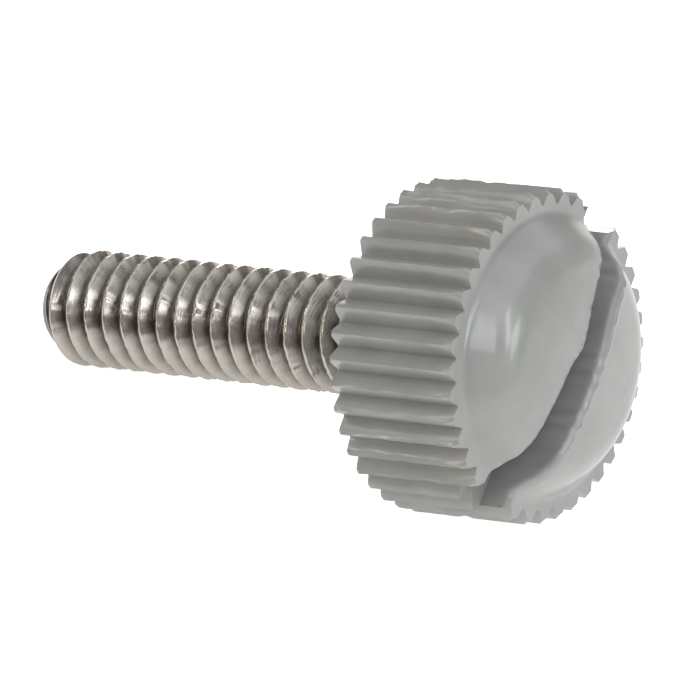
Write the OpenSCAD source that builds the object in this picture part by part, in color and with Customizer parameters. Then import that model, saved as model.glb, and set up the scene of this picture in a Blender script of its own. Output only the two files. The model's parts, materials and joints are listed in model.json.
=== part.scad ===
// Thumb screw: a knurled, slotted plastic head moulded round a threaded steel stud.
// All sizes are in millimetres. The screw lies on its side, as it comes to rest:
// on the rim of its head and on the last full turn of its thread.

/* [Head] */
// Diameter over the crests of the knurl
head_d = 11.5; // [9:0.1:16]
// Length of the knurled side, from the seat to the flat rim
head_len = 5; // [4:0.1:9]
// Number of teeth round the head
tooth_count = 40; // [28:2:56]
// Depth of the V grooves between the teeth
tooth_depth = 0.48; // [0.2:0.01:0.6]
// Width of the narrow flat that runs along each crest
crest_land = 0.1; // [0.04:0.01:0.2]
// Width of the narrow flat in the bottom of each groove
groove_land = 0.08; // [0.04:0.01:0.2]
// Chamfer of the teeth at the seat end
seat_chamfer = 0.3; // [0.05:0.05:0.6]
// Chamfer of the teeth at the rim end
rim_chamfer = 0.1; // [0.05:0.05:0.4]

/* [Crown] */
// Diameter of the raised crown, inside the flat rim
crown_d = 9.2; // [7.5:0.1:10]
// Height of the crown's middle above the flat rim
crown_rise = 1.75; // [1.3:0.05:2.5]
// Height that the crown's edge would have above the rim if it were sharp
crown_edge = 0.8; // [0.5:0.05:1.1]
// Radius that rounds the crown's edge
crown_round = 0.6; // [0.1:0.05:0.7]

/* [Driver slot] */
// Width of the slot for a flat screwdriver
slot_w = 1.5; // [0.8:0.1:2]
// Depth of the slot below the flat rim
slot_depth = 1.1; // [0.5:0.1:1.3]
// Direction of the slot, in degrees from the side that the screw rests on
slot_angle = 125; // [0:1:179]

/* [Thread] */
// Outside diameter of the thread
thread_d = 4.1; // [3:0.05:5]
// Distance from one turn of the thread to the next
thread_pitch = 0.794; // [0.5:0.001:1]
// Length of the thread, from the seat to the end of the stud
thread_len = 15.875; // [8:0.125:30]
// Diameter of the flat end of the stud
tip_d = 2.7; // [1.5:0.1:2.9]
// Length of the tapered end of the stud
tip_len = 0.9; // [0.4:0.1:1.5]

/* [Anchor inside the head] */
// Width across the flats of the hexagon that keeps the stud from turning
anchor_flats = 6.35; // [5.5:0.05:7]
// Height of the hexagon
anchor_h = 2.2; // [1:0.1:2.5]
// Thickness of the plastic between the seat and the hexagon
anchor_cover = 0.9; // [0.5:0.1:1.2]
// How far the plain neck inside the head stands out past the thread
neck_step = 0.05; // [0.02:0.01:0.3]
// Gap that the plastic leaves round the steel as it shrinks
mould_gap = 0.02; // [0.01:0.01:0.05]

/* [Hidden] */
$fn = 96;
cut = 0.5;               // how far a cutting shape runs past what it cuts

// The thread has 60 degree flanks, a narrow flat crest and a narrow flat root.
head_r = head_d / 2;
thread_r = thread_d / 2;
thread_depth = 0.61 * thread_pitch;
root_r = thread_r - thread_depth;
flank_len = thread_depth * tan(30);
thread_crest = thread_pitch / 8;
turn_steps = 24;         // straight stretches in one turn of the helix
// Height of the crest's middle on the resting side, less whole turns
crest_start = 0.294;
neck_r = thread_r + neck_step;
anchor_top = anchor_cover + anchor_h;

// The crown is a slice of a ball with a rounded edge.
crown_r = crown_d / 2;
bulge = crown_rise - crown_edge;
ball_r = (crown_r * crown_r + bulge * bulge) / (2 * bulge);
ball_z = head_len + crown_rise - ball_r;
round_r = crown_r - crown_round;
round_z = ball_z + sqrt(pow(ball_r - crown_round, 2) - round_r * round_r);
blend_r = round_r * ball_r / (ball_r - crown_round);

// The head stands on two crests, the stud on its last full turn on that side.
rest_head_r = head_r * cos(180 / tooth_count);
last_crest = crest_start
    - thread_pitch * floor((thread_len - tip_len + crest_start - thread_crest / 2) / thread_pitch);
rest_stud_z = last_crest - thread_crest / 2;
tilt = atan((rest_head_r - thread_r) / (seat_chamfer - rest_stud_z));
rest_lift = rest_head_r * cos(tilt) - seat_chamfer * sin(tilt);
low_x = -thread_len * cos(tilt) - tip_d / 2 * sin(tilt);
high_x = ball_z * cos(tilt) + ball_r;

// Lays the screw down: its axis leaves +Z and leans towards +X, front end up.
module laid_down() {
    translate([-(low_x + high_x) / 2, 0, rest_lift])
        rotate([0, 90 - tilt, 0])
            children();
}

// Outline of the knurl: one tooth is a crest land, a flank, a groove land and a flank.
module knurl_outline() {
    step = 360 / tooth_count;
    groove_r = head_r - tooth_depth;
    crest_turn = asin(crest_land / 2 / head_r);
    groove_turn = asin(groove_land / 2 / groove_r);
    polygon([
        for (i = [0 : tooth_count - 1])
            for (corner = [
                [head_r, -crest_turn], [head_r, crest_turn],
                [groove_r, step / 2 - groove_turn], [groove_r, step / 2 + groove_turn]
            ])
                corner[0] * [cos((i + 0.5) * step + corner[1]), sin((i + 0.5) * step + corner[1])]
    ]);
}

// The knurled barrel, with both ends of its teeth chamfered by one turned outline.
module barrel() {
    intersection() {
        linear_extrude(height = head_len)
            knurl_outline();
        rotate_extrude()
            polygon([
                [0, 0], [head_r - seat_chamfer, 0], [head_r + cut, seat_chamfer + cut],
                [head_r + cut, head_len - rim_chamfer - cut], [head_r - rim_chamfer, head_len], [0, head_len]
            ]);
    }
}

// The raised crown, turned from a straight edge, a rounding and the arc of the ball.
module crown() {
    rotate_extrude() {
        translate([0, head_len - cut])
            square([crown_r, round_z - head_len + cut]);
        translate([round_r, round_z])
            circle(r = crown_round);
        intersection() {
            translate([0, ball_z])
                circle(r = ball_r, $fn = 360);
            translate([0, head_len - cut])
                square([blend_r, crown_rise + 2 * cut]);
        }
    }
}

// The driver slot runs right across the crown and through the teeth on both sides.
module driver_slot() {
    rotate([0, 0, slot_angle])
        translate([-head_r - cut, -slot_w / 2, head_len - slot_depth])
            cube([head_d + 2 * cut, slot_w, slot_depth + crown_rise + cut]);
}

// The neck and the hexagon of the stud; with a gap it is the hollow that they fill.
module anchor(gap, start) {
    translate([0, 0, start])
        cylinder(r = neck_r + gap, h = anchor_cover - start + cut);
    translate([0, 0, anchor_cover - gap])
        cylinder(d = (anchor_flats + 2 * gap) / cos(30), h = anchor_h + 2 * gap, $fn = 6);
}

module knurled_head() {
    color("darkgray")
        laid_down()
            difference() {
                union() {
                    barrel();
                    crown();
                }
                driver_slot();
                anchor(mould_gap, -cut);
            }
}

// One row of the thread's surface: the four corners of its section at step i.
function thread_row(i) =
    let (turn = 360 * i / turn_steps, rise = thread_pitch * i / turn_steps)
    [for (corner = [
        [root_r, -thread_crest / 2 - flank_len], [thread_r, -thread_crest / 2],
        [thread_r, thread_crest / 2], [root_r, thread_crest / 2 + flank_len]
    ])
        [corner[0] * cos(turn), corner[0] * sin(turn), corner[1] + rise]];

// A right-hand helix, wound as one closed surface from below low to above high.
module helix(low, high) {
    first = floor((low - crest_start) / thread_pitch - 2) * turn_steps;
    last = ceil((high - crest_start) / thread_pitch + 2) * turn_steps;
    rows = last - first + 1;
    points = [for (i = [first : last]) each thread_row(i)];
    low_hub = 4 * rows;
    high_hub = low_hub + 1;
    hub_z = thread_pitch / 2;
    ridge = [for (i = [0 : rows - 2], k = [0 : 2]) [4 * i + k, 4 * i + k + 1, 4 * i + k + 5, 4 * i + k + 4]];
    root = [for (i = [0 : rows - turn_steps - 2])
        [4 * i + 3, 4 * (i + turn_steps), 4 * (i + turn_steps + 1), 4 * i + 7]];
    low_cap = concat(
        [for (i = [0 : turn_steps - 1]) [4 * i + 4, low_hub, 4 * i]],
        [[0, low_hub, 1], [1, low_hub, 2], [2, low_hub, 3], [3, low_hub, 4 * turn_steps]]
    );
    top = 4 * (rows - 1);
    high_cap = concat(
        [for (i = [rows - turn_steps - 1 : rows - 2]) [4 * i + 3, high_hub, 4 * i + 7]],
        [[top + 1, high_hub, top], [top + 2, high_hub, top + 1], [top + 3, high_hub, top + 2],
            [top, high_hub, top + 3 - 4 * turn_steps]]
    );
    translate([0, 0, crest_start])
        polyhedron(
            concat(points, [
                [0, 0, first / turn_steps * thread_pitch + hub_z],
                [0, 0, last / turn_steps * thread_pitch - hub_z]
            ]),
            concat(ridge, root, low_cap, high_cap)
        );
}

// The threaded length, with its end trimmed to a short taper.
module thread() {
    intersection() {
        helix(-thread_len, 0);
        rotate_extrude()
            polygon([
                [0, -thread_len], [tip_d / 2, -thread_len], [thread_r, tip_len - thread_len],
                [thread_r + cut, tip_len - thread_len + cut], [thread_r + cut, 0], [0, 0]
            ]);
    }
}

module threaded_stud() {
    color("silver")
        laid_down()
            union() {
                thread();
                anchor(0, 0);
                translate([0, 0, -cut])
                    cylinder(r = root_r / 2, h = 2 * cut);
            }
}

knurled_head();
threaded_stud();
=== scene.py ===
"""Thumb screw: a knurled, slotted nylon head moulded round a nickel-plated steel stud.

The pieces are shaped in millimetres about the screw's own axis, with the seat at z = 0, the
head above it, the stud below it and the resting side towards +X. Each is then laid in place
by one matrix, which is worked out from the thread's mount.
"""
import json
import math

import bmesh
import bpy
from mathutils import Matrix, Vector, noise


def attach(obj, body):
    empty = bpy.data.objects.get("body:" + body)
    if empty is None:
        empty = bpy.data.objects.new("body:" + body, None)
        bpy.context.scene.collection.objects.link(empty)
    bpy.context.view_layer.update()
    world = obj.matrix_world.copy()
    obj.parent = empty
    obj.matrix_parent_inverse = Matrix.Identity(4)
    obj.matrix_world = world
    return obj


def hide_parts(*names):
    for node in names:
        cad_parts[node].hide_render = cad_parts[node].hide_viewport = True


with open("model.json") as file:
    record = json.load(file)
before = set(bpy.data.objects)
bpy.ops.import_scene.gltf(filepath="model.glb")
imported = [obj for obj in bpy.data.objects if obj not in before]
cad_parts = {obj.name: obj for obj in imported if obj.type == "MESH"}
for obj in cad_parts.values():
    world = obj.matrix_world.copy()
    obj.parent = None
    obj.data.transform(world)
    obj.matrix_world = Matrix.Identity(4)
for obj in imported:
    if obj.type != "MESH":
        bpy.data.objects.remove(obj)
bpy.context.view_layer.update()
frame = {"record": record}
MM = 0.001
FLOOR = 0.0

# Making the meshes, in millimetres
MERGE = 0.0005  # points nearer than this become one
NEAR = 1e-4  # what counts as touching a plane
SHARP_EDGE = math.radians(35)  # faces that meet more steeply show an edge

# Head, in millimetres
HEAD_R = 5.75
HEAD_LEN = 5.0
SEAT_CHAMFER = 0.1
RIM_CHAMFER = 0.2

# Knurl
TEETH = 40
TOOTH_DEPTH = 0.55
# Each pair is a share of the way from a crest to a groove, and the height that is left there
TOOTH_FLANK = ((0.0, 1.0), (0.08, 0.985), (0.16, 0.9), (0.9, 0.04), (1.0, 0.0))
TOOTH_PARTS = 10  # points of a ring on each tooth
TOOTH_RINGS = 12  # rings along a tooth, below the slot's floor
CREST_WEAR = 0.05
CREST_BAND = 0.15  # how far below a crest the wear still reaches
WEAR_PATCH = 0.5

# Crown
CROWN_R = 4.87
CROWN_SIDE = math.radians(52)
CROWN_RISE = 1.75
CROWN_BALL_R = 16.0
CROWN_ROUND = 1.8
CROWN_FOOT = 0.4

# Driver slot
SLOT_W = 1.5
SLOT_DEPTH = 1.1
SLOT_FLOOR = HEAD_LEN - SLOT_DEPTH
SLOT_ANGLE = math.radians(125)
ALONG = Vector((math.cos(SLOT_ANGLE), math.sin(SLOT_ANGLE), 0))
ACROSS = Vector((-math.sin(SLOT_ANGLE), math.cos(SLOT_ANGLE), 0))

# Lips of the slot. Each hill is its middle along the slot, and its width before and after it.
CRISP_LIP = 0.07
WORN_LIP = 0.22
LIPS = {1: CRISP_LIP, -1: WORN_LIP}
LIP_ROWS = (0.0, 0.1, 0.25, 0.45, 0.7, 1.0, 1.2, 1.45)  # rows of edges, in roundings of the lip
BURR = 0.25
BURR_HILL = (0.35, 0.6, 0.9)
LEAN = 0.27
LEAN_HILL = (2.2, 2.4, 1.2)
LEAN_REACH = 3  # in worn lips
CORNER_WEAR = 0.2
CORNER_HILL = (-4.35, 0.5, 0.6)
FRAY = 0.05
FRAY_DEPTH = 0.15
FRAY_LENGTH = 0.3
FRAY_APART = 9.0  # keeps one lip's unevenness unlike the other's
RIDGE_RISE = 0.035  # the raised edge beside a lip
RIDGE_LEVEL = 0.4
RIDGE_REACH = 1.3
RIDGE_FROM = 0.2  # how far above the rim it starts

# Stud, in millimetres. The corners of the thread are softened by steps along and across the axis.
THREAD_R = 2.05
PITCH = 0.794
THREAD_LEN = 15.875
THREAD_DEPTH = 0.61 * PITCH
THREAD_CREST = PITCH / 8
THREAD_FLANK = math.radians(30)
ROOT_FILLET = ((0.02, 0.01), (-0.02, 0.035))
CREST_ROUND = ((0.02, 0.035), (-0.015, 0.006))
CREST_START = 0.294  # height of a crest on the resting side, less whole turns
THREAD_STEPS = 96  # points in one turn
THREAD_MERGE = 0.002  # joins the root of each turn to the next
TIP_R = 1.35
TIP_LEN = 0.9
CORE_R = 0.5  # what is trimmed off past the tip stays this far from the axis
TRIM = 1e-5
NICK_DEPTH = 0.035
NICK_BAND = 0.05  # how far below a crest the nicks still reach
NICK_SIZE = 0.16
NICK_START = 0.05
NICK_SLOPE = 3

# Neck and hexagon inside the head
NECK_R = THREAD_R + 0.05
HEX_R = 6.35 / 2
HEX_LOW = 0.9
HEX_HIGH = 3.1

# Finishes: the size of each pattern and its depth, in metres
CLOUD = 1.6 * MM
GRAIN = 0.12 * MM
GRAIN_DEPTH = 0.01 * MM
PATCH = 0.5 * MM
PATCH_DEPTH = 0.02 * MM
ROLLING = 0.7 * MM
ROLLING_DEPTH = 0.012 * MM
ROLLING_SQUEEZE = 14.0
FLOOR_GLOW = 0.54
FLOOR_WHITER = 0.3  # more glow for the camera's own rays

# Studio: the camera's places in millimetres, the rest in metres
CAMERA_PLACE = (198.3035, -279.7313, 227.5872)
CAMERA_AIM = (1.3347, -0.3561, 4.3765)
CAMERA_VIEW = math.radians(3.3776)
CAMERA_ROLL = math.radians(-1.55)
FLOOR_HALF = 3.0
ROOM_LIGHT = (0.263, 0.237, 0.218, 1)
BOX_CENTRE = Vector((0, 0, 0.005))
BOX_DISTANCE = 0.6
SOFT_BOXES = (
    # name, turn round the screw and height in degrees, size, power in red, green and blue
    ("head_end", 0, 22, (0.16, 0.16), (0.44, 0.52, 0.46)),
    ("left_pane", -48, 44, (0.09, 0.26), (0.40, 0.40, 0.43)),
    ("right_pane", -14, 38, (0.08, 0.30), (0.52, 0.54, 0.54)),
    ("overhead", 0, 78, (0.55, 0.55), (0.93, 0.97, 1.04)),
    ("stud_front", -120, 25, (0.16, 0.16), (0.39, 0.35, 0.26)),
    ("stud_high", -150, 48, (0.25, 0.25), (0.48, 0.48, 0.44)),
    ("back_low", 120, 8, (0.16, 0.16), (0.80, 0.77, 0.70)),
    ("back_high", 90, 45, (0.50, 0.40), (0.55, 0.58, 0.60)),
    ("stud_glint", -146, 26, (0.05, 0.05), (0.08, 0.08, 0.08)),
)


# ---------------------------------------------------------------- placing

def screw_place():
    """The matrix that takes the screw's own millimetres to its place on the floor."""
    thread = next(m for m in frame["record"]["mounts"] if m["name"] == "thread")
    axis = -Vector(thread["axis"]).normalized()
    side = Vector((axis.z, 0, -axis.x))
    turn = Matrix((side, Vector((0, 1, 0)), axis)).transposed().to_4x4()
    return Matrix.Translation(Vector(thread["pos_m"])) @ turn @ Matrix.Scale(MM, 4)


LAID_DOWN = screw_place()


def finished(name, shape, material, node):
    """Turns a shape in the screw's millimetres into a piece that stands for a node."""
    bmesh.ops.remove_doubles(shape, verts=shape.verts, dist=MERGE)
    bmesh.ops.recalc_face_normals(shape, faces=shape.faces)
    shape.transform(LAID_DOWN)
    for v in shape.verts:
        v.co.z = max(v.co.z, FLOOR)
    mesh = bpy.data.meshes.new(name)
    shape.to_mesh(mesh)
    shape.free()
    mesh.shade_smooth()
    mesh.set_sharp_from_angle(angle=SHARP_EDGE)
    mesh.materials.append(material)
    piece = bpy.data.objects.new(name, mesh)
    bpy.context.scene.collection.objects.link(piece)
    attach(piece, "root")
    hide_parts(node)
    return piece


# ---------------------------------------------------------------- materials

def colour(code):
    """An sRGB hex value as linear RGBA."""
    parts = [int(code[i:i + 2], 16) / 255 for i in (1, 3, 5)]
    return [p / 12.92 if p <= 0.04045 else ((p + 0.055) / 1.055) ** 2.4 for p in parts] + [1.0]


def add(tree, kind, settings=None, links=None):
    """Adds a node, sets its fields and sockets, and links what other nodes feed it."""
    made = tree.nodes.new(kind)
    for key, value in (settings or {}).items():
        if isinstance(key, int) or key in made.inputs:
            made.inputs[key].default_value = value
        else:
            setattr(made, key, value)
    for key, source in (links or {}).items():
        tree.links.new(source, made.inputs[key])
    return made


def new_material(name, settings):
    """A material with its output and its surface shader, whose sockets are set."""
    material = bpy.data.materials.new(name)
    material.use_nodes = True
    tree = material.node_tree
    tree.nodes.clear()
    surface = add(tree, "ShaderNodeBsdfPrincipled", settings)
    add(tree, "ShaderNodeOutputMaterial", links={"Surface": surface.outputs["BSDF"]})
    return material, tree, surface


def moulded_nylon():
    """Injection-moulded grey nylon: satin, a little cloudy, with soft highlights.

    The grain of the mould is finer than can be seen, and is drawn coarse enough to show.
    """
    material, tree, surface = new_material("moulded_nylon", {
        "Roughness": 0.34, "IOR": 1.53, "Coat Weight": 0.5, "Coat Roughness": 0.13,
        "Sheen Weight": 0.12, "Sheen Roughness": 0.25,
    })
    place = add(tree, "ShaderNodeTexCoord").outputs["Object"]
    cloud = add(tree, "ShaderNodeTexNoise", {"Scale": 1 / CLOUD, "Detail": 3.0}, {"Vector": place})
    tint = add(tree, "ShaderNodeValToRGB", links={"Fac": cloud.outputs["Fac"]})
    dark, light = tint.color_ramp.elements
    dark.position, dark.color = 0.35, colour("#909190")
    light.position, light.color = 0.65, colour("#989998")
    tree.links.new(tint.outputs["Color"], surface.inputs["Base Color"])
    grain = add(tree, "ShaderNodeTexNoise", {"Scale": 1 / GRAIN, "Detail": 2.0}, {"Vector": place})
    relief = add(
        tree, "ShaderNodeBump", {"Strength": 0.12, "Distance": GRAIN_DEPTH},
        {"Height": grain.outputs["Fac"]},
    )
    tree.links.new(relief.outputs["Normal"], surface.inputs["Normal"])
    return material


def plated_steel():
    """Nickel plating on rolled steel: bright on the crests, dull and darker down in the grooves, where
    the darker colour is painted shade.

    The marks of rolling run round the screw, and are drawn coarser than they are so that they show.
    """
    material, tree, surface = new_material("plated_steel", {"Metallic": 1.0})
    place = add(tree, "ShaderNodeTexCoord").outputs["Object"]
    axis = (LAID_DOWN.to_3x3() @ Vector((0, 0, 1))).normalized()

    # Distance from the screw's axis, as a height between root and crest
    offset = add(
        tree, "ShaderNodeVectorMath", {"operation": "SUBTRACT", 1: LAID_DOWN.translation}, {0: place},
    ).outputs["Vector"]
    across = add(tree, "ShaderNodeVectorMath", {"operation": "CROSS_PRODUCT", 1: axis}, {0: offset})
    radius = add(tree, "ShaderNodeVectorMath", {"operation": "LENGTH"}, {0: across.outputs["Vector"]})
    height = add(
        tree, "ShaderNodeMapRange",
        {"From Min": (THREAD_R - THREAD_DEPTH) * MM, "From Max": THREAD_R * MM},
        {"Value": radius.outputs["Value"]},
    )

    # Colour and polish, both uneven in patches
    patches = add(
        tree, "ShaderNodeTexNoise", {"Scale": 1 / PATCH, "Detail": 4.0}, {"Vector": place},
    ).outputs["Fac"]
    uneven = add(tree, "ShaderNodeMath", {"operation": "MULTIPLY_ADD", 1: 0.5, 2: -0.25}, {0: patches})
    level = add(
        tree, "ShaderNodeMath", {"operation": "ADD"},
        {0: height.outputs["Result"], 1: uneven.outputs["Value"]},
    )
    # The colour runs from root to crest, and the darker grooves are painted shade
    plating_and_groove_shade = add(tree, "ShaderNodeValToRGB", links={"Fac": level.outputs["Value"]})
    groove, crest = plating_and_groove_shade.color_ramp.elements
    groove.position, groove.color = 0.1, colour("#5C554F")
    crest.position, crest.color = 0.8, colour("#B2AEA7")
    tree.links.new(plating_and_groove_shade.outputs["Color"], surface.inputs["Base Color"])
    polish = add(tree, "ShaderNodeMapRange", {"To Min": 0.18, "To Max": 0.36}, {"Value": patches})
    tree.links.new(polish.outputs["Result"], surface.inputs["Roughness"])

    # Small dents, and the marks of rolling: noise that is squeezed along the axis
    along = add(tree, "ShaderNodeVectorMath", {"operation": "DOT_PRODUCT", 1: axis}, {0: offset})
    times = add(
        tree, "ShaderNodeMath", {"operation": "MULTIPLY", 1: ROLLING_SQUEEZE},
        {0: along.outputs["Value"]},
    )
    shift = add(
        tree, "ShaderNodeVectorMath", {"operation": "SCALE", 0: axis},
        {"Scale": times.outputs["Value"]},
    )
    rolled = add(
        tree, "ShaderNodeVectorMath", {"operation": "ADD"},
        {0: offset, 1: shift.outputs["Vector"]},
    )
    marks = add(
        tree, "ShaderNodeTexNoise", {"Scale": 1 / ROLLING, "Detail": 3.0},
        {"Vector": rolled.outputs["Vector"]},
    )
    dents = add(tree, "ShaderNodeBump", {"Strength": 0.3, "Distance": PATCH_DEPTH}, {"Height": patches})
    relief = add(
        tree, "ShaderNodeBump", {"Strength": 0.55, "Distance": ROLLING_DEPTH},
        {"Height": marks.outputs["Fac"], "Normal": dents.outputs["Normal"]},
    )
    tree.links.new(relief.outputs["Normal"], surface.inputs["Normal"])
    return material


def pale_floor():
    """Matt white acrylic on a light table: it glows softly, and the camera sees it whiter."""
    material, tree, surface = new_material("pale_floor", {
        "Base Color": colour("#F2F2F2"), "Roughness": 0.9, "Specular IOR Level": 0.0,
        "Emission Color": colour("#FFFFFF"),
    })
    seen = add(tree, "ShaderNodeLightPath").outputs["Is Camera Ray"]
    glow = add(
        tree, "ShaderNodeMath", {"operation": "MULTIPLY_ADD", 1: FLOOR_WHITER, 2: FLOOR_GLOW}, {0: seen},
    )
    tree.links.new(glow.outputs["Value"], surface.inputs["Emission Strength"])
    return material


# ---------------------------------------------------------------- outlines

def tooth_height(turn):
    """How high the knurl stands at an angle, from 0 in a groove to 1 on a crest."""
    share = (turn * TEETH / math.tau) % 1.0
    off_crest = abs(share - 0.5) * 2
    for (a, high), (b, low) in zip(TOOTH_FLANK, TOOTH_FLANK[1:]):
        if off_crest <= b:
            return high + (low - high) * (off_crest - a) / (b - a)
    return 0.0


def round_edge(turn, r):
    """A circle."""
    return r


def knurl_edge(turn, r):
    """A toothed outline whose crests lie at r."""
    return r - TOOTH_DEPTH * (1 - tooth_height(turn))


def seat_edge(turn, r):
    """The toothed outline, cut back to no more than r."""
    return min(r, knurl_edge(turn, HEAD_R))


def hexagon_edge(turn, r):
    """A hexagon with half width r across its flats."""
    return r / math.cos((turn + math.pi / 6) % (math.pi / 3) - math.pi / 6)


def settle(verts, edge, r, z):
    """Moves a ring's vertices, each at its own turn, to an outline at a height."""
    for v in verts:
        turn = math.atan2(v.co.y, v.co.x) % math.tau
        v.co = Vector((math.cos(turn), math.sin(turn), 0)) * edge(turn, r) + Vector((0, 0, z))


def turned(stations, low, high, parts):
    """A closed shape drawn through rings of any outline, with a pole at each end."""
    shape = bmesh.new()
    ring = bmesh.ops.create_circle(shape, segments=parts, radius=1.0)["verts"]
    settle(ring, *stations[0])
    first = list(shape.edges)
    last = first
    for station in stations[1:]:
        made = bmesh.ops.extrude_edge_only(shape, edges=last)["geom"]
        last = [g for g in made if isinstance(g, bmesh.types.BMEdge)]
        settle([g for g in made if isinstance(g, bmesh.types.BMVert)], *station)
    for rim, z in ((first, low), (last, high)):
        made = bmesh.ops.extrude_edge_only(shape, edges=rim)["geom"]
        pole = [g for g in made if isinstance(g, bmesh.types.BMVert)]
        bmesh.ops.pointmerge(shape, verts=pole, merge_co=(0, 0, z))
    return shape


# ---------------------------------------------------------------- head

def arc(centre, r, start, end, parts):
    """Stations along an arc, its turns counted from straight out from the axis."""
    turns = [start + (end - start) * i / parts for i in range(parts + 1)]
    return [(round_edge, centre[0] + r * math.cos(t), centre[1] + r * math.sin(t)) for t in turns]


def crown_stations():
    """The crown's outline: a fillet, a sloping side, a blend and a slice of a large ball."""
    ball_z = HEAD_LEN + CROWN_RISE - CROWN_BALL_R
    out = Vector((math.sin(CROWN_SIDE), math.cos(CROWN_SIDE)))
    up = Vector((-math.cos(CROWN_SIDE), math.sin(CROWN_SIDE)))

    # The blend's centre lies its own radius inside both the sloping side and the ball
    inset = Vector((CROWN_R, HEAD_LEN - ball_z)) - CROWN_ROUND * out
    reach = CROWN_BALL_R - CROWN_ROUND
    rise = math.sqrt(inset.dot(up) ** 2 - inset.length_squared + reach ** 2) - inset.dot(up)
    blend = inset + rise * up + Vector((0, ball_z))
    foot = Vector((CROWN_R + CROWN_FOOT * math.tan(CROWN_SIDE / 2), HEAD_LEN + CROWN_FOOT))
    low = foot - CROWN_FOOT * out
    high = blend + CROWN_ROUND * out

    lean = math.pi / 2 - CROWN_SIDE
    edge = math.atan2(blend.y - ball_z, blend.x)
    fillet = arc(foot, CROWN_FOOT, -math.pi / 2, lean - math.pi, 5)
    side = [(round_edge, *(low + (high - low) * i / 5)) for i in range(1, 5)]
    shoulder = arc(blend, CROWN_ROUND, lean, edge, 14)
    ball = arc((0, ball_z), CROWN_BALL_R, edge, math.pi / 2, 44)[1:-1]
    return fillet + side + shoulder + ball


def head_stations():
    """Every ring of the head, from the roof of its hollow, out at the seat, and up to the crown."""
    hollow = [
        (hexagon_edge, HEX_R, HEX_HIGH),
        (hexagon_edge, HEX_R, HEX_LOW),
        (round_edge, NECK_R, HEX_LOW),
        (round_edge, NECK_R, 0.0),
    ]
    teeth_len = SLOT_FLOOR - SEAT_CHAMFER
    heights = [SEAT_CHAMFER + teeth_len * i / TOOTH_RINGS for i in range(1, TOOTH_RINGS + 1)]
    side = [
        (seat_edge, HEAD_R - SEAT_CHAMFER, 0.0),
        (seat_edge, HEAD_R, SEAT_CHAMFER),
        *[(knurl_edge, HEAD_R, z) for z in heights],
        (seat_edge, HEAD_R, HEAD_LEN - RIM_CHAMFER),
        (seat_edge, HEAD_R - RIM_CHAMFER, HEAD_LEN),
    ]
    return hollow + side + crown_stations()


def wear_crests(shape):
    """Lowers the crests of the knurl a little, here and there."""
    for v in shape.verts:
        flat = Vector((v.co.x, v.co.y, 0))
        if flat.length > HEAD_R - CREST_BAND and SEAT_CHAMFER < v.co.z < HEAD_LEN - RIM_CHAMFER:
            wear = max(0.0, noise.noise(v.co / WEAR_PATCH)) * CREST_WEAR * 2
            v.co -= flat.normalized() * wear


def moulded_head(material):
    """The nylon head: knurl, crown, hollow and driver slot."""
    shape = turned(head_stations(), HEX_HIGH, HEAD_LEN + CROWN_RISE, TEETH * TOOTH_PARTS)
    wear_crests(shape)
    cut_slot(shape)
    return finished("moulded_head", shape, material, "knurled_head")


# ---------------------------------------------------------------- driver slot

def hill(place, middle, before, after):
    """A smooth hill of height 1, with its own width on each side of its middle."""
    return math.exp(-((place - middle) / (before if place < middle else after)) ** 2)


def lip_lean(side, place):
    """How far a lip has been pushed over the slot, by the distance along it."""
    if side > 0:
        return BURR * hill(place, *BURR_HILL)
    return LEAN * hill(place, *LEAN_HILL)


def lip_round(side, place):
    """How far a lip is rounded off; the worn lip's lower corner is broken away most."""
    if side > 0:
        return CRISP_LIP
    return WORN_LIP + CORNER_WEAR * hill(place, *CORNER_HILL)


def score_lips(shape):
    """Cuts rows of edges along both sides of the slot, for its walls and for its lips."""
    for side, lip in LIPS.items():
        for row in LIP_ROWS:
            top = [f for f in shape.faces if min(v.co.z for v in f.verts) > SLOT_FLOOR - NEAR]
            edges = dict.fromkeys(e for f in top for e in f.edges)
            verts = dict.fromkeys(v for f in top for v in f.verts)
            plane = ACROSS * side * (SLOT_W / 2 + row * lip)
            bmesh.ops.bisect_plane(
                shape, geom=[*edges, *verts, *top], dist=NEAR, plane_co=plane, plane_no=ACROSS,
            )


def open_slot(shape):
    """Takes out the faces between the lips, and returns the open edges along each."""
    inside = [
        f for f in shape.faces
        if abs(f.calc_center_median().dot(ACROSS)) < SLOT_W / 2 and f.calc_center_median().z > SLOT_FLOOR
    ]
    bmesh.ops.delete(shape, geom=inside, context="FACES")
    open_edges = [e for e in shape.edges if e.is_boundary]
    return [
        [e for e in open_edges if all(abs(v.co.dot(ACROSS) - side * SLOT_W / 2) < NEAR for v in e.verts)]
        for side in LIPS
    ]


def draw_walls(shape, rims):
    """Draws a wall down from each lip, with one row below the wear, and closes the floor."""
    for v in shape.verts:
        v.tag = False
    for side, rim in zip(LIPS, rims):
        for to_floor in (False, True):
            made = bmesh.ops.extrude_edge_only(shape, edges=rim)["geom"]
            rim = [g for g in made if isinstance(g, bmesh.types.BMEdge)]
            for v in made:
                if isinstance(v, bmesh.types.BMVert):
                    v.tag = True
                    below = v.co.z - lip_round(side, v.co.dot(ALONG)) - FRAY_DEPTH
                    v.co.z = SLOT_FLOOR if to_floor else max(SLOT_FLOOR, below)
    bmesh.ops.remove_doubles(shape, verts=shape.verts, dist=NEAR)
    bmesh.ops.dissolve_degenerate(shape, edges=shape.edges, dist=NEAR)
    rest = [e for e in shape.edges if len(e.link_faces) == 1]
    bmesh.ops.contextual_create(shape, geom=rest)


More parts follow.
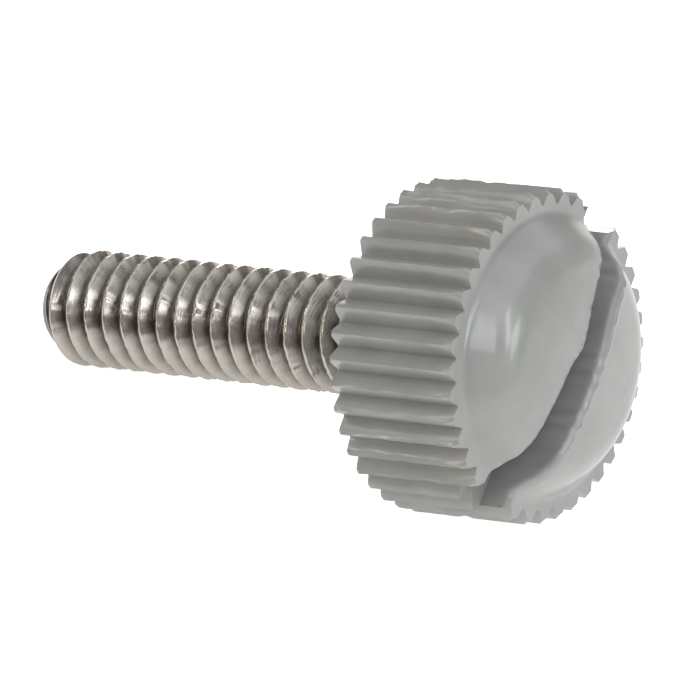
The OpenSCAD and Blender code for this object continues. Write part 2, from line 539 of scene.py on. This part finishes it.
def wear_lips(shape):
    """Leans, rounds and frays the lips; the walls, whose vertices are tagged, only lean."""
    for v in shape.verts:
        side = 1 if v.co.dot(ACROSS) > 0 else -1
        out = abs(v.co.dot(ACROSS)) - SLOT_W / 2
        place = v.co.dot(ALONG)
        lip = lip_round(side, place)
        if v.tag:
            v.co -= ACROSS * side * lip_lean(side, place)
            continue
        if v.co.z <= HEAD_LEN - NEAR or out > max(lip, LEAN_REACH * WORN_LIP):
            continue
        fray = noise.noise(Vector((place / FRAY_LENGTH, side * FRAY_APART, 0)))
        if out < lip:
            v.co.z -= lip - math.sqrt(max(0.0, lip ** 2 - (lip - out) ** 2))
        elif out < RIDGE_REACH * lip and v.co.z > HEAD_LEN + RIDGE_FROM:
            v.co.z += RIDGE_RISE * max(0.0, RIDGE_LEVEL + fray)
        push = lip_lean(side, place) - FRAY * fray
        v.co -= ACROSS * side * push * max(0.0, 1 - out / WORN_LIP / LEAN_REACH)


def cut_slot(shape):
    """Opens the driver slot down to its floor, with one lip crisp and the other worn."""
    score_lips(shape)
    draw_walls(shape, open_slot(shape))
    wear_lips(shape)


# ---------------------------------------------------------------- stud

def thread_section():
    """One pitch of the thread's outline, from the middle of a root to the next."""
    root_r = THREAD_R - THREAD_DEPTH
    flank = THREAD_DEPTH * math.tan(THREAD_FLANK)
    half = [
        (PITCH / 2, root_r),
        *[(THREAD_CREST / 2 + flank + step, root_r + rise) for step, rise in ROOT_FILLET],
        *[(THREAD_CREST / 2 + step, THREAD_R - fall) for step, fall in CREST_ROUND],
    ]
    return [(-z, r) for z, r in half] + [(0.0, THREAD_R)] + [(z, r) for z, r in reversed(half)]


def wound_thread():
    """The thread's section wound up the axis, a turn longer at each end than it stays."""
    shape = bmesh.new()
    turns = math.ceil(THREAD_LEN / PITCH) + 1
    start = CREST_START - PITCH * turns
    points = [shape.verts.new((r, 0, start + z)) for z, r in thread_section()]
    lines = [shape.edges.new(pair) for pair in zip(points, points[1:])]
    bmesh.ops.spin(
        shape, geom=points + lines, cent=(0, 0, 0), axis=(0, 0, 1), dvec=(0, 0, PITCH / THREAD_STEPS),
        angle=math.tau * (turns + 1), steps=THREAD_STEPS * (turns + 1), use_merge=False,
    )
    bmesh.ops.remove_doubles(shape, verts=shape.verts, dist=THREAD_MERGE)
    return shape


def taper_and_nick(shape):
    """Tapers the end of the thread, and leaves small nicks in its crests.

    What lies past the end is kept off the axis, because it is trimmed off later.
    """
    for v in shape.verts:
        flat = Vector((v.co.x, v.co.y, 0))
        past = -v.co.z - (THREAD_LEN - TIP_LEN)
        limit = THREAD_R - (THREAD_R - TIP_R) * past / TIP_LEN
        if past > 0 and flat.length > limit:
            v.co = flat.normalized() * max(limit, CORE_R) + Vector((0, 0, v.co.z))
        elif flat.length > THREAD_R - NICK_BAND:
            nick = max(0.0, noise.noise(v.co / NICK_SIZE) - NICK_START) * NICK_DEPTH * NICK_SLOPE
            v.co -= flat.normalized() * min(nick, NICK_DEPTH)


def trim_ends(shape):
    """Cuts the thread off flat at the seat and at its end, and closes both."""
    for z, up in ((0.0, 1), (-THREAD_LEN, -1)):
        geom = list(shape.verts) + list(shape.edges) + list(shape.faces)
        cut = bmesh.ops.bisect_plane(
            shape, geom=geom, dist=TRIM, plane_co=(0, 0, z), plane_no=(0, 0, up), clear_outer=True,
        )["geom_cut"]
        bmesh.ops.contextual_create(shape, geom=[g for g in cut if isinstance(g, bmesh.types.BMEdge)])


def threaded_stud(material):
    """The steel stud: rolled thread, tapered end, and the neck and hexagon inside the head."""
    shape = wound_thread()
    taper_and_nick(shape)
    trim_ends(shape)
    stations = [
        (round_edge, NECK_R, 0.0),
        (round_edge, NECK_R, HEX_LOW),
        (hexagon_edge, HEX_R, HEX_LOW),
        (hexagon_edge, HEX_R, HEX_HIGH),
    ]
    anchor = turned(stations, 0.0, HEX_HIGH, THREAD_STEPS)
    mesh = bpy.data.meshes.new("anchor")
    anchor.to_mesh(mesh)
    anchor.free()
    shape.from_mesh(mesh)
    bpy.data.meshes.remove(mesh)
    return finished("rolled_stud", shape, material, "threaded_stud")


# ---------------------------------------------------------------- scene

def floor(material):
    """A plain pale floor, far wider than the view."""
    shape = bmesh.new()
    bmesh.ops.create_grid(shape, x_segments=1, y_segments=1, size=FLOOR_HALF)
    bmesh.ops.translate(shape, verts=shape.verts, vec=(0, 0, FLOOR))
    mesh = bpy.data.meshes.new("floor")
    shape.to_mesh(mesh)
    shape.free()
    mesh.materials.append(material)
    plane = bpy.data.objects.new("floor", mesh)
    bpy.context.scene.collection.objects.link(plane)


def look(position, aim, roll=0.0):
    """A matrix that stands at position and looks at aim, rolled about that line."""
    back = (position - aim).normalized()
    right = Vector((0, 0, 1)).cross(back).normalized()
    up = back.cross(right)
    turn = Matrix((right, up, back)).transposed().to_4x4()
    return Matrix.Translation(position) @ turn @ Matrix.Rotation(roll, 4, "Z")


def camera():
    """A long lens, from in front of the head, to one side and above."""
    lens = bpy.data.cameras.new("camera")
    lens.sensor_fit = "HORIZONTAL"
    lens.angle = CAMERA_VIEW
    lens.clip_start = 0.01
    eye = bpy.data.objects.new("camera", lens)
    eye.matrix_world = look(Vector(CAMERA_PLACE) * MM, Vector(CAMERA_AIM) * MM, CAMERA_ROLL)
    bpy.context.scene.collection.objects.link(eye)
    bpy.context.scene.camera = eye


def soft_light(name, turn, height, size, watts):
    """A rectangular soft box that faces the screw, its power given for red, green and blue."""
    lamp = bpy.data.lights.new(name, "AREA")
    lamp.shape = "RECTANGLE"
    lamp.size, lamp.size_y = size
    lamp.energy = max(watts)
    lamp.color = [w / max(watts) for w in watts]
    box = bpy.data.objects.new(name, lamp)
    way = Vector((math.cos(turn) * math.cos(height), math.sin(turn) * math.cos(height), math.sin(height)))
    box.matrix_world = look(BOX_CENTRE + way * BOX_DISTANCE, BOX_CENTRE)
    bpy.context.scene.collection.objects.link(box)


def studio():
    """Soft boxes round the screw in a dim, slightly warm room."""
    world = bpy.data.worlds.new("surroundings")
    bpy.context.scene.world = world
    world.use_nodes = True
    world.node_tree.nodes["Background"].inputs["Color"].default_value = ROOM_LIGHT
    for name, turn, height, size, watts in SOFT_BOXES:
        soft_light(name, math.radians(turn), math.radians(height), size, watts)


moulded_head(moulded_nylon())
threaded_stud(plated_steel())
floor(pale_floor())
camera()
studio()
bpy.context.scene.view_settings.view_transform = "Standard"
